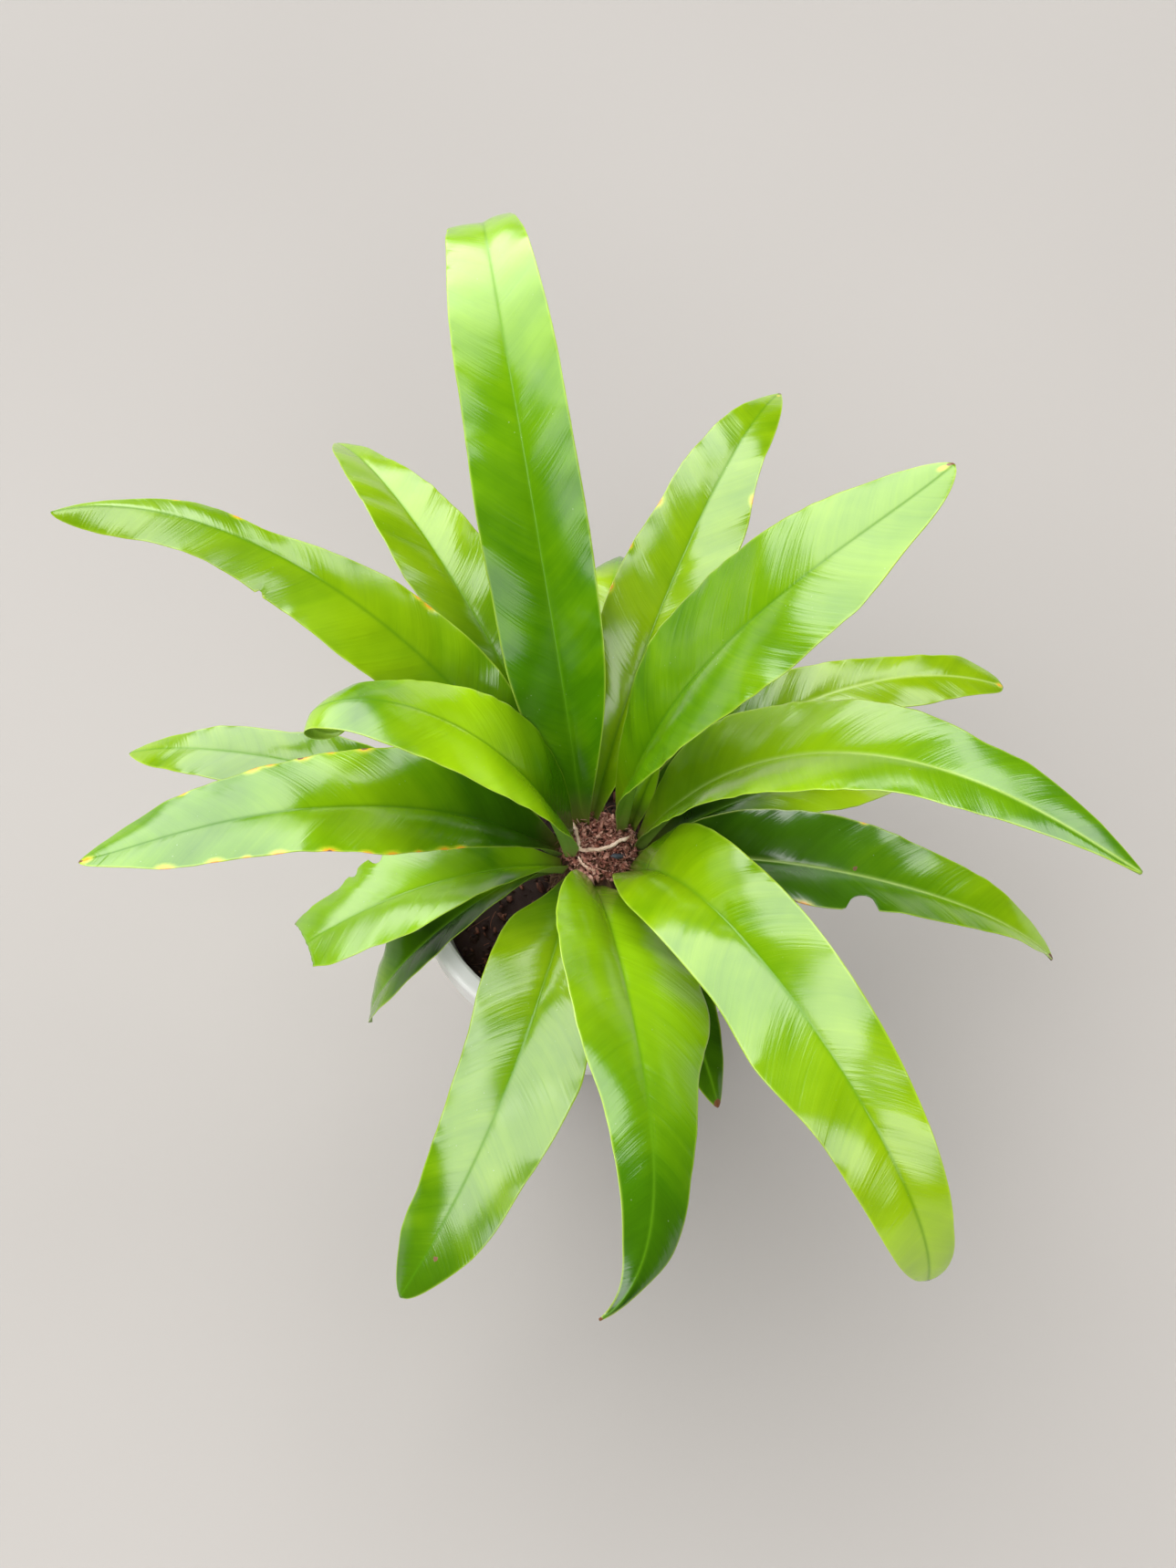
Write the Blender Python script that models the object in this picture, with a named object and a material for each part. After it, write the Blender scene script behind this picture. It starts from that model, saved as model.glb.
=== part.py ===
"""A bird's-nest fern growing in a plain white nursery pot.

Units are metres and +Z is up.  The origin is the centre of the pot's flat base.
The tallest frond leans to +Y, and azimuths are degrees counter-clockwise from +X.
"""

from math import cos, pi, radians, sin
from typing import NamedTuple

import bpy
import numpy as np

# Pot: a six-inch nursery pot with a turned-down lip
RIM_RADIUS = 0.080
LIP_WIDTH = 0.0078
LIP_DEPTH = 0.017
LIP_ROUND = 0.0022
POT_HEIGHT = 0.135
BASE_RADIUS = 0.056
WALL = 0.0022
FLOOR = 0.003
DRAIN_HOLES = 6
DRAIN_RADIUS = 0.0045
DRAIN_RING = 0.036
DRAIN_TURN = 3.0
POT_SEGMENTS = 64

# Potting mix and the short upright stem that every frond grows from
GAP = 0.0004
SOIL_TOP = 0.1195
SOIL_EDGE = 0.1160
SOIL_SEGMENTS = 40
STEM_FOOT = 0.0225
STEM_TOP = 0.1495
STEM_SEGMENTS = 28
LITTER_RADIUS = 0.008
LITTER_TOP = 0.1545

# Fronds stand on three rings round the stem: (radius, height)
INNER = (0.0125, 0.1500)
MIDDLE = (0.0170, 0.1450)
OUTER = (0.0210, 0.1390)
STIPE_HALF = 0.0035
TIP_HALF = 0.0005
BLADE_THICK = 0.0007
RIB_THICK = 0.0012
STIPE_THICK = 0.0018
ROWS = 16
COLUMNS = (-1.0, -0.5, 0.0, 0.5, 1.0)

ROOT_RADIUS = 0.0008
FINE_ROOT_RADIUS = 0.0005


class Frond(NamedTuple):
    """One strap-shaped frond.  Angles are in degrees and lengths in metres."""

    name: str
    ring: tuple  # where on the stem it stands
    seat: float  # azimuth of its foot on the ring
    heading: float  # azimuth it leaves in
    length: float
    width: float
    rise: float  # elevation at the foot
    droop: float  # how far the elevation has fallen at the tip
    bend: float = 1.2  # 1 is an even arc, more bends it nearer the tip
    sweep: float = 0.0  # how far the heading turns by the tip
    hook: float = 0.0  # extra turn of the last few centimetres
    curl: float = 0.0  # extra fall of the last few centimetres
    roll: float = 0.0  # tilt of the blade about its midrib
    twist: float = 0.0  # extra tilt by the tip
    belly: float = 0.5  # where it is widest, as a fraction of its length
    point: float = 0.85  # small is a blunt tip, large a drawn-out one
    arch: float = -6.0  # side lift at the tip, in degrees; negative sags
    ripple: float = 0.0015  # height of the wavy margin
    waves: float = 3.0
    phase: float = 0.0
    torn: float = 1.0  # fraction of the length that is left
    bites: tuple = ()  # (length fraction, side -1 to 1, radius) of each missing piece


CHANNEL = 35.0  # side lift at the foot of every frond, in degrees

FRONDS = (
    Frond("frond_back_tall", INNER, 124, 104, 0.342, 0.044, 66, 100, 1.26, -9, 0, 90, -18, 7,
          0.27, 0.40, 2, 0.0020, 4.5, 0.1),
    Frond("frond_back_right", INNER, 104, 65, 0.231, 0.043, 62, 94, 1.2, 0, -3, 0, -4, -1,
          0.44, 0.92, -2, 0.0020, 4.0, 0.4),
    Frond("frond_right_broad", INNER, 43, 9, 0.229, 0.060, 86, 70, 1.6, 14, 15, 0, -11, 0,
          0.56, 0.68, -6, 0.0015, 3.0, 0.7),
    Frond("frond_left_young", INNER, 196, 166, 0.188, 0.060, 80, 86, 1.55, 23, 0, 230, 24, 4,
          0.38, 0.95, -20, 0.0012, 2.0, 0.2),
    Frond("frond_right_arching", MIDDLE, 8, -11, 0.246, 0.049, 74, 89, 1.6, -39, 22, 0, -4, -8,
          0.34, 0.86, -1, 0.0012, 2.5, 0.3),
    Frond("frond_right_bitten", MIDDLE, -17, -18, 0.196, 0.044, 43, 95, 1.2, 10, -8, 0, -5, -15,
          0.34, 0.72, 16, 0.0015, 3.0, 0.5, 1.0, ((0.51, -1.05, 0.0050),)),
    Frond("frond_front_broad", MIDDLE, -45, -62, 0.271, 0.044, 71, 149, 1.4, 7, -4, 0, 15, 6,
          0.30, 0.48, 0, 0.0022, 3.5, 0.0),
    Frond("frond_front_drip_tip", MIDDLE, -97, -82, 0.229, 0.054, 58, 86, 1.6, 1, -75, 0, -36, 8,
          0.40, 1.20, -14, 0.0015, 3.0, 0.6),
    Frond("frond_front_left", MIDDLE, -126, -99, 0.195, 0.047, 51, 91, 0.7, -31, 0, 0, 12, -6,
          0.48, 0.60, -16, 0.0015, 3.0, 0.2),
    Frond("frond_left_torn", MIDDLE, -153, -158, 0.146, 0.048, 44, 89, 1.15, 5, 0, 0, 22, 5,
          0.54, 0.90, -10, 0.0015, 3.0, 0.8, 0.86,
          ((0.62, -1.0, 0.0045), (0.76, -1.05, 0.0040), (1.02, -0.1, 0.0060))),
    Frond("frond_left_broad", MIDDLE, -178, -170, 0.209, 0.051, 60, 81, 1.2, 12, -19, 0, 5, 14,
          0.42, 0.71, -5, 0.0010, 3.0, 0.1),
    Frond("frond_left_wavy", MIDDLE, 146, 144, 0.256, 0.037, 58, 67, 1.45, 30, 16, 0, -15, 12,
          0.38, 0.62, -36, 0.0025, 3.2, 0.3),
    Frond("frond_right_low", OUTER, 50, 29, 0.185, 0.032, 43, 73, 1.2, -28, 0, 0, -8, 0,
          0.50, 0.48, -4, 0.0012, 3.0, 0.5),
    Frond("frond_right_yellowed", OUTER, 10, 20, 0.130, 0.044, 36, 84, 1.1, -8, 0, 0, -14, -5,
          0.58, 0.92, -5, 0.0010, 2.0, 0.4),
    Frond("frond_front_under", OUTER, -36, -59, 0.078, 0.020, 42, 80, 1.2, -4, 0, 0, -16, -12,
          0.48, 0.95, -2, 0.0008, 2.0, 0.1),
    Frond("frond_front_short", OUTER, -74, -60, 0.104, 0.026, 30, 80, 1.2, -11, 0, 0, -8, -7,
          0.48, 0.80, -9, 0.0008, 2.0, 0.6),
    Frond("frond_left_under", OUTER, -166, -141, 0.128, 0.036, 46, 130, 0.95, -10, 0, 0, 22, 12,
          0.60, 0.90, 2, 0.0010, 2.0, 0.2),
    Frond("frond_left_low", OUTER, 168, 170, 0.206, 0.031, 36, 76, 1.2, -8, 2, 0, 4, 1,
          0.60, 0.86, -7, 0.0012, 3.0, 0.7),
    Frond("frond_back_left", OUTER, 118, 121, 0.241, 0.044, 42, 78, 1.2, 1, 2, 0, 12, 8,
          0.51, 0.92, 10, 0.0012, 3.0, 0.0),
    Frond("frond_back_low", OUTER, 92, 88, 0.152, 0.044, 38, 84, 1.2, -7, 0, 0, -4, -4,
          0.54, 0.90, -10, 0.0012, 2.0, 0.5),
    Frond("frond_crown_spear", MIDDLE, 38, 56, 0.036, 0.010, 64, 20, 1.2, 0, 0, 0, 0, 0,
          0.45, 1.00, 20, 0.0, 1.0, 0.0),
)

# Centre lines of the two surface roots that lie over the crown
LONG_ROOT = ((-11.8, 7.6, 156.4), (-9.8, 3.6, 156.6), (-8.8, -1.0, 156.4), (-8.0, -5.0, 155.8),
             (-3.0, -5.4, 156.0), (3.0, -4.6, 156.2), (8.0, -1.8, 156.2), (12.5, 0.4, 156.6))
SHORT_ROOT = ((-8.6, -7.6, 153.6), (-7.4, -9.6, 152.6), (-4.6, -11.6, 151.4), (-1.6, -12.4, 150.2))


def clear_scene():
    for obj in list(bpy.data.objects):
        bpy.data.objects.remove(obj, do_unlink=True)


def material(name, colour, roughness, coat=0.0):
    """A Principled material, shared by the pieces that name it."""
    found = bpy.data.materials.get(name)
    if found:
        return found
    made = bpy.data.materials.new(name)
    made.use_nodes = True
    shader = made.node_tree.nodes["Principled BSDF"]
    shader.inputs["Base Color"].default_value = (*colour, 1.0)
    shader.inputs["Roughness"].default_value = roughness
    shader.inputs["Metallic"].default_value = 0.0
    shader.inputs["Coat Weight"].default_value = coat
    made.diffuse_color = (*colour, 1.0)
    return made


def add_mesh(name, points, faces, look, sharp=40.0):
    mesh = bpy.data.meshes.new(name)
    mesh.from_pydata([tuple(p) for p in points], [], faces)
    mesh.validate()
    mesh.shade_smooth()
    mesh.set_sharp_from_angle(angle=radians(sharp))
    mesh.materials.append(look)
    obj = bpy.data.objects.new(name, mesh)
    bpy.context.collection.objects.link(obj)
    return obj


def turned(name, profile, segments, look, uneven=0.0, seed=0):
    """Turns a (radius, height) profile about Z.  Its first and last points are on the axis."""
    rng = np.random.default_rng(seed)
    rings = profile[1:-1]
    points = [(0.0, 0.0, profile[0][1])]
    for radius, height in rings:
        for k in range(segments):
            angle = 2 * pi * k / segments
            swell = 1 - uneven * rng.random()
            points.append((radius * swell * cos(angle), radius * swell * sin(angle), height))
    points.append((0.0, 0.0, profile[-1][1]))
    last = len(points) - 1
    faces = []
    for k in range(segments):
        after = (k + 1) % segments
        faces.append((0, 1 + after, 1 + k))
        for ring in range(len(rings) - 1):
            low = 1 + ring * segments
            high = low + segments
            faces.append((low + k, low + after, high + after, high + k))
        top = 1 + (len(rings) - 1) * segments
        faces.append((top + k, top + after, last))
    return add_mesh(name, points, faces, look)


def cut(obj, cutter):
    """Takes the cutter away from the object, and keeps the cutter as a hidden guide."""
    cutter.hide_render = True
    cutter.display_type = "WIRE"
    boolean = obj.modifiers.new("cut_" + cutter.name, "BOOLEAN")
    boolean.operation = "DIFFERENCE"
    boolean.solver = "EXACT"
    boolean.object = cutter


def rod_between(name, start, end, radius, look, sides=14):
    """A plain closed cylinder, used as a cutter."""
    start = np.array(start)
    axis = np.array(end) - start
    length = np.linalg.norm(axis)
    axis = axis / length
    helper = np.array((1.0, 0.0, 0.0)) if abs(axis[0]) < 0.8 else np.array((0.0, 1.0, 0.0))
    across = np.cross(axis, helper)
    across = across / np.linalg.norm(across)
    up = np.cross(axis, across)
    points = []
    for level in (0.0, length):
        for k in range(sides):
            angle = 2 * pi * k / sides
            points.append(start + axis * level + radius * (across * cos(angle) + up * sin(angle)))
    faces = [tuple(reversed(range(sides))), tuple(range(sides, 2 * sides))]
    for k in range(sides):
        after = (k + 1) % sides
        faces.append((k, after, sides + after, sides + k))
    return add_mesh(name, points, faces, look)


def inner_radius(height):
    """The pot's inside radius: a straight taper from the floor to the lip."""
    share = (height - FLOOR) / (POT_HEIGHT - FLOOR)
    return (BASE_RADIUS - WALL) + share * (RIM_RADIUS - LIP_WIDTH - BASE_RADIUS + WALL)


def build_pot(look, guide):
    lip_inside = RIM_RADIUS - LIP_WIDTH
    lip_foot = POT_HEIGHT - LIP_DEPTH
    under_lip = POT_HEIGHT - WALL * 1.2
    outside = [
        (0.0, 0.0),
        (BASE_RADIUS - 0.0015, 0.0),
        (BASE_RADIUS, 0.0015),
        (inner_radius(under_lip) + WALL, under_lip - 0.001),
        (inner_radius(under_lip) + WALL + 0.0008, under_lip),
        (RIM_RADIUS - WALL, under_lip - 0.0006),
        (RIM_RADIUS - WALL * 1.1, lip_foot + 0.0003),
        (RIM_RADIUS - WALL * 0.8, lip_foot),
        (RIM_RADIUS - WALL * 0.3, lip_foot),
        (RIM_RADIUS - 0.0002, lip_foot + 0.0008),
        (RIM_RADIUS, POT_HEIGHT - LIP_ROUND),
    ]
    crest = []
    for step in range(1, 5):
        turn = radians(step * 90 / 4)
        crest.append((RIM_RADIUS - LIP_ROUND * (1 - cos(turn)), POT_HEIGHT - LIP_ROUND * (1 - sin(turn))))
    inside = [
        (lip_inside + 0.0016, POT_HEIGHT),
        (lip_inside + 0.0004, POT_HEIGHT - 0.0006),
        (lip_inside, POT_HEIGHT - 0.0020),
        (inner_radius(FLOOR + 0.002), FLOOR + 0.002),
        (inner_radius(FLOOR) - 0.002, FLOOR),
        (0.0, FLOOR),
    ]
    pot = turned("pot", outside + crest + inside, POT_SEGMENTS, look)
    for k in range(DRAIN_HOLES):
        angle = 2 * pi * k / DRAIN_HOLES + radians(DRAIN_TURN)
        x = DRAIN_RING * cos(angle)
        y = DRAIN_RING * sin(angle)
        hole = rod_between(f"drain_cutter_{k}", (x, y, -0.002), (x, y, FLOOR + 0.002), DRAIN_RADIUS, guide)
        cut(pot, hole)


def build_soil(look):
    low = FLOOR + GAP
    edge = inner_radius(SOIL_EDGE) - GAP
    profile = [
        (0.0, low),
        (inner_radius(low) - 0.004, low),
        (inner_radius(low + 0.004) - GAP, low + 0.004),
        (edge, SOIL_EDGE),
        (edge * 0.80, SOIL_EDGE + 0.0012),
        (edge * 0.58, SOIL_TOP - 0.0012),
        (STEM_FOOT + 0.006, SOIL_TOP),
        (0.0, SOIL_TOP),
    ]
    turned("potting_mix", profile, SOIL_SEGMENTS, look)


def build_crown(stem_look, litter_look, chip_look):
    foot = SOIL_TOP + GAP
    stem = [
        (0.0, foot),
        (STEM_FOOT, foot),
        (0.0205, 0.1300),
        (0.0192, 0.1370),
        (0.0152, 0.1435),
        (0.0108, 0.1490),
        (0.0095, STEM_TOP),
        (0.0, STEM_TOP),
    ]
    turned("crown_stem", stem, STEM_SEGMENTS, stem_look, uneven=0.05, seed=3)
    litter = [
        (0.0, STEM_TOP + GAP),
        (LITTER_RADIUS, STEM_TOP + GAP),
        (LITTER_RADIUS, STEM_TOP + 0.0022),
        (LITTER_RADIUS * 0.75, LITTER_TOP - 0.0008),
        (LITTER_RADIUS * 0.4, LITTER_TOP),
        (0.0, LITTER_TOP),
    ]
    turned("crown_litter", litter, 20, litter_look, uneven=0.10, seed=5)
    chip = [
        (0.0, -0.0020),
        (0.0018, -0.0018),
        (0.0024, -0.0004),
        (0.0022, 0.0012),
        (0.0012, 0.0020),
        (0.0, 0.0021),
    ]
    piece = turned("charcoal_chip", chip, 9, chip_look, uneven=0.15, seed=8)
    piece.location = (0.0078, -0.0078, 0.1526)
    piece.rotation_euler = (0.3, 0.2, 0.5)


def build_root(name, route, radius, look):
    """A root as a smooth tube through its route, which is in millimetres."""
    knots = np.array(route) / 1000
    padded = np.vstack((2 * knots[0] - knots[1], knots, 2 * knots[-1] - knots[-2]))
    curve = bpy.data.curves.new(name, "CURVE")
    curve.dimensions = "3D"
    curve.bevel_depth = radius
    curve.bevel_resolution = 1
    curve.use_fill_caps = True
    points = []
    for k in range(len(knots) - 1):
        a, b, c, d = padded[k : k + 4]
        for u in (0.0, 1 / 3, 2 / 3):
            points.append(
                0.5 * (2 * b + (c - a) * u + (2 * a - 5 * b + 4 * c - d) * u**2
                       + (3 * b - a - 3 * c + d) * u**3)
            )
    points.append(knots[-1])
    spline = curve.splines.new("POLY")
    spline.points.add(len(points) - 1)
    for place, point in zip(spline.points, points):
        place.co = (*point, 1.0)
    curve.materials.append(look)
    obj = bpy.data.objects.new(name, curve)
    bpy.context.collection.objects.link(obj)


def spine(f, count):
    """Length fractions, midrib points, tangents, and the blade's side and up directions."""
    share = np.linspace(0.0, 1.0, count)
    along = share * f.torn
    elevation = np.radians(f.rise - f.droop * along**f.bend - f.curl * along**8)
    azimuth = np.radians(f.heading + f.sweep * along**1.5 + f.hook * along**9)
    tangent = np.stack((np.cos(elevation) * np.cos(azimuth),
                        np.cos(elevation) * np.sin(azimuth),
                        np.sin(elevation)), axis=1)
    step = f.length * f.torn / (count - 1)
    radius, height = f.ring
    foot = np.array((radius * cos(radians(f.seat)), radius * sin(radians(f.seat)), height))
    moves = 0.5 * (tangent[1:] + tangent[:-1]) * step
    points = foot + np.vstack((np.zeros(3), np.cumsum(moves, axis=0)))
    side = np.stack((-np.sin(azimuth), np.cos(azimuth), 0 * azimuth), axis=1)
    up = np.cross(tangent, side)
    tilt = np.radians(f.roll + f.twist * along)[:, None]
    side, up = side * np.cos(tilt) + up * np.sin(tilt), up * np.cos(tilt) - side * np.sin(tilt)
    return along, points, tangent, side, up


def half_width(f, along):
    """From a narrow stipe to the belly, then down to the tip."""
    growing = np.sin(pi / 2 * np.clip(along / f.belly, 0, 1)) ** 1.2
    fading = np.cos(pi / 2 * np.clip((along - f.belly) / (1 - f.belly), 0, 0.9999)) ** f.point
    full = np.where(along < f.belly, growing, fading)
    stipe = STIPE_HALF * (1 - along)
    return stipe + (f.width / 2 - stipe) * full + TIP_HALF * along


def blade(f, columns, count):
    """Points of the upper surface and its normals, each as rows by columns by 3."""
    along, points, _, side, up = spine(f, count)
    half = half_width(f, along)
    lift = np.radians(CHANNEL * (1 - along) ** 1.5 + f.arch * along)
    share = half / (f.width / 2)
    surface = []
    normals = []
    for t in columns:
        hand = np.sign(t)
        wave = np.sin(2 * pi * (f.waves * along + f.phase + 0.35 * (t > 0)))
        across = half * t * np.cos(lift)
        height = half * abs(t) * np.sin(lift) + f.ripple * t * t * share * wave
        surface.append(points + side * across[:, None] + up * height[:, None])
        normals.append(up * np.cos(lift)[:, None] - side * (hand * np.sin(lift))[:, None])
    return along, np.stack(surface, axis=1), np.stack(normals, axis=1)


def thickness(along, t):
    rib = np.exp(-((t / 0.3) ** 2))
    return BLADE_THICK + rib * (RIB_THICK - BLADE_THICK + STIPE_THICK * (1 - along) ** 2)


def build_frond(f, look, guide):
    """A thin closed blade: an upper and a lower sheet, joined all round."""
    along, upper, normals = blade(f, COLUMNS, ROWS + 1)
    wide = len(COLUMNS)
    lower = upper.copy()
    for j, t in enumerate(COLUMNS):
        lower[:, j] -= normals[:, j] * thickness(along, t)[:, None]
    points = np.vstack((upper.reshape(-1, 3), lower.reshape(-1, 3)))
    below = (ROWS + 1) * wide
    faces = []
    for i in range(ROWS):
        for j in range(wide - 1):
            a, b = i * wide + j, i * wide + j + 1
            c, d = b + wide, a + wide
            faces.append((a, d, c, b))
            faces.append((below + a, below + b, below + c, below + d))
        for a, d in ((i * wide, (i + 1) * wide), ((i + 2) * wide - 1, (i + 1) * wide - 1)):
            faces.append((a, below + a, below + d, d))
    for j in range(wide - 1):
        faces.append((j, j + 1, below + j + 1, below + j))
        a = ROWS * wide + j
        faces.append((a, below + a, below + a + 1, a + 1))
    obj = add_mesh(f.name, points, faces, look, sharp=60.0)
    for k, (fraction, t, radius) in enumerate(f.bites):
        _, centre, normal = blade(f, (t,), 101)
        row = min(100, round(fraction * 100))
        middle, axis = centre[row, 0], normal[row, 0]
        reach = 0.012
        cut(obj, rod_between(f"{f.name}_bite_{k}", middle - axis * reach, middle + axis * reach, radius, guide))


def main():
    clear_scene()
    white = material("pot_white", (0.86, 0.86, 0.85), 0.28, 0.2)
    dark = material("potting_mix_dark", (0.035, 0.018, 0.014), 0.95)
    fibre = material("stem_fibre", (0.13, 0.075, 0.045), 0.90)
    litter = material("litter_brown", (0.20, 0.085, 0.060), 0.92)
    coal = material("charcoal", (0.05, 0.06, 0.075), 0.70)
    root = material("root_pale", (0.62, 0.42, 0.32), 0.75)
    green = material("frond_green", (0.13, 0.36, 0.02), 0.32, 0.3)
    young = material("frond_lime", (0.30, 0.56, 0.03), 0.30, 0.3)
    guide = material("guide", (1.0, 0.0, 1.0), 0.5)
    build_pot(white, guide)
    build_soil(dark)
    build_crown(fibre, litter, coal)
    build_root("surface_root_long", LONG_ROOT, ROOT_RADIUS, root)
    build_root("surface_root_short", SHORT_ROOT, FINE_ROOT_RADIUS, root)
    for f in FRONDS:
        fresh = f.name in ("frond_left_young", "frond_crown_spear")
        build_frond(f, young if fresh else green, guide)


main()
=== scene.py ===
"""Looks for the bird's-nest fern in its white nursery pot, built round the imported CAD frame.

Units are metres.  Azimuths are degrees counter-clockwise from +X, and the camera looks to +Y.
"""

from math import cos, pi, radians, sin
from typing import NamedTuple

import bpy
import numpy as np
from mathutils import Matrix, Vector


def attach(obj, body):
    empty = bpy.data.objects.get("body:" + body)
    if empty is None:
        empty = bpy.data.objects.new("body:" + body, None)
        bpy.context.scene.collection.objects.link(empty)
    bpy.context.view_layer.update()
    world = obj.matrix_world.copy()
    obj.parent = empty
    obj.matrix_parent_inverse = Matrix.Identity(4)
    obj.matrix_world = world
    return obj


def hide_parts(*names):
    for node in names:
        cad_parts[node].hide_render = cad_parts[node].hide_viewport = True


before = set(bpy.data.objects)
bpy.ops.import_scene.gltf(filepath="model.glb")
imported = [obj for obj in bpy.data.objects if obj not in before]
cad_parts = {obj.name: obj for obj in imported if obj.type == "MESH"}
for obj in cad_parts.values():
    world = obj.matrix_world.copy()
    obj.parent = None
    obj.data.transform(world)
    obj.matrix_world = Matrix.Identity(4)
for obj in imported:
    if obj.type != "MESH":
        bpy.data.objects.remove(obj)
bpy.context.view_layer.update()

# Fronds stand on three rings round the stem: (radius, height), as in the CAD
INNER = (0.0125, 0.1500)
MIDDLE = (0.0170, 0.1450)
OUTER = (0.0210, 0.1390)
STIPE_HALF = 0.0035
TIP_HALF = 0.0005
CHANNEL = 35.0

POT_HEIGHT = 0.135
POT_FLOOR = 0.003
INNER_FOOT_RADIUS = 0.0538
INNER_RIM_RADIUS = 0.0722
SOIL_EDGE = 0.1160
SOIL_TOP = 0.1195
STEM_TOP = 0.1495
LITTER_TOP = 0.1545


class Frond(NamedTuple):
    """One strap-shaped frond, with the same fields as in the CAD."""

    name: str
    ring: tuple
    seat: float
    heading: float
    length: float
    width: float
    rise: float
    droop: float
    bend: float = 1.2
    sweep: float = 0.0
    hook: float = 0.0
    curl: float = 0.0
    roll: float = 0.0
    twist: float = 0.0
    belly: float = 0.5
    point: float = 0.85
    arch: float = -6.0
    ripple: float = 0.0015
    waves: float = 3.0
    phase: float = 0.0
    torn: float = 1.0


# These are fitted values, not chosen ones: heading, length, width, droop, bend, sweep, hook, roll,
# twist, belly, point and arch were fitted to measured outlines by another program, and so were ten
# of the rises and three of the seats.  Some were then adjusted.
FRONDS = (
    Frond("back_tall", INNER, 124, 104, 0.342, 0.044, 66, 100, 1.26, -9, 0, 90, -18, 7,
          0.27, 0.40, 2, 0.0020, 4.5, 0.1),
    Frond("back_right", INNER, 104, 65, 0.231, 0.043, 62, 94, 1.2, 0, -3, 0, -4, -1,
          0.44, 0.92, -2, 0.0020, 4.0, 0.4),
    Frond("right_broad", INNER, 43, 9, 0.229, 0.060, 86, 70, 1.6, 14, 15, 0, -11, 0,
          0.56, 0.68, -6, 0.0015, 3.0, 0.7),
    Frond("left_young", INNER, 196, 166, 0.188, 0.060, 80, 86, 1.55, 23, 0, 230, 24, 4,
          0.38, 0.95, -20, 0.0012, 2.0, 0.2),
    Frond("right_arching", MIDDLE, 8, -11, 0.246, 0.049, 74, 89, 1.6, -39, 22, 0, -4, -8,
          0.34, 0.86, -1, 0.0012, 2.5, 0.3),
    Frond("right_bitten", MIDDLE, -17, -18, 0.196, 0.044, 43, 95, 1.2, 10, -8, 0, -5, -15,
          0.34, 0.72, 16, 0.0015, 3.0, 0.5),
    Frond("front_broad", MIDDLE, -45, -62, 0.271, 0.044, 71, 149, 1.4, 7, -4, 0, 15, 6,
          0.30, 0.48, 0, 0.0022, 3.5, 0.0),
    Frond("front_drip_tip", MIDDLE, -97, -82, 0.229, 0.054, 58, 86, 1.6, 1, -75, 0, -36, 8,
          0.40, 1.20, -14, 0.0015, 3.0, 0.6),
    Frond("front_left", MIDDLE, -126, -99, 0.195, 0.047, 51, 91, 0.7, -31, 0, 0, 12, -6,
          0.48, 0.60, -16, 0.0015, 3.0, 0.2),
    Frond("left_torn", MIDDLE, -153, -158, 0.146, 0.048, 44, 89, 1.15, 5, 0, 0, 22, 5,
          0.54, 0.90, -10, 0.0015, 3.0, 0.8, 0.86),
    Frond("left_broad", MIDDLE, -178, -170, 0.209, 0.051, 60, 81, 1.2, 12, -19, 0, 5, 14,
          0.42, 0.71, -5, 0.0010, 3.0, 0.1),
    Frond("left_wavy", MIDDLE, 146, 144, 0.256, 0.037, 58, 67, 1.45, 30, 16, 0, -15, 12,
          0.38, 0.62, -36, 0.0025, 3.2, 0.3),
    Frond("right_low", OUTER, 50, 29, 0.185, 0.032, 43, 73, 1.2, -28, 0, 0, -8, 0,
          0.50, 0.48, -4, 0.0012, 3.0, 0.5),
    Frond("right_yellowed", OUTER, 10, 20, 0.130, 0.044, 36, 84, 1.1, -8, 0, 0, -14, -5,
          0.58, 0.92, -5, 0.0010, 2.0, 0.4),
    Frond("front_under", OUTER, -36, -59, 0.078, 0.020, 42, 80, 1.2, -4, 0, 0, -16, -12,
          0.48, 0.95, -2, 0.0008, 2.0, 0.1),
    Frond("front_short", OUTER, -74, -60, 0.104, 0.026, 30, 80, 1.2, -11, 0, 0, -8, -7,
          0.48, 0.80, -9, 0.0008, 2.0, 0.6),
    Frond("left_under", OUTER, -166, -141, 0.128, 0.036, 46, 130, 0.95, -10, 0, 0, 22, 12,
          0.60, 0.90, 2, 0.0010, 2.0, 0.2),
    Frond("left_low", OUTER, 168, 170, 0.206, 0.031, 36, 76, 1.2, -8, 2, 0, 4, 1,
          0.60, 0.86, -7, 0.0012, 3.0, 0.7),
    Frond("back_left", OUTER, 118, 121, 0.241, 0.044, 42, 78, 1.2, 1, 2, 0, 12, 8,
          0.51, 0.92, 10, 0.0012, 3.0, 0.0),
    Frond("back_low", OUTER, 92, 88, 0.152, 0.044, 38, 84, 1.2, -7, 0, 0, -4, -4,
          0.54, 0.90, -10, 0.0012, 2.0, 0.5),
    Frond("crown_spear", MIDDLE, 38, 56, 0.036, 0.010, 64, 20, 1.2, 0, 0, 0, 0, 0,
          0.45, 1.00, 20, 0.0, 1.0, 0.0),
)


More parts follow.
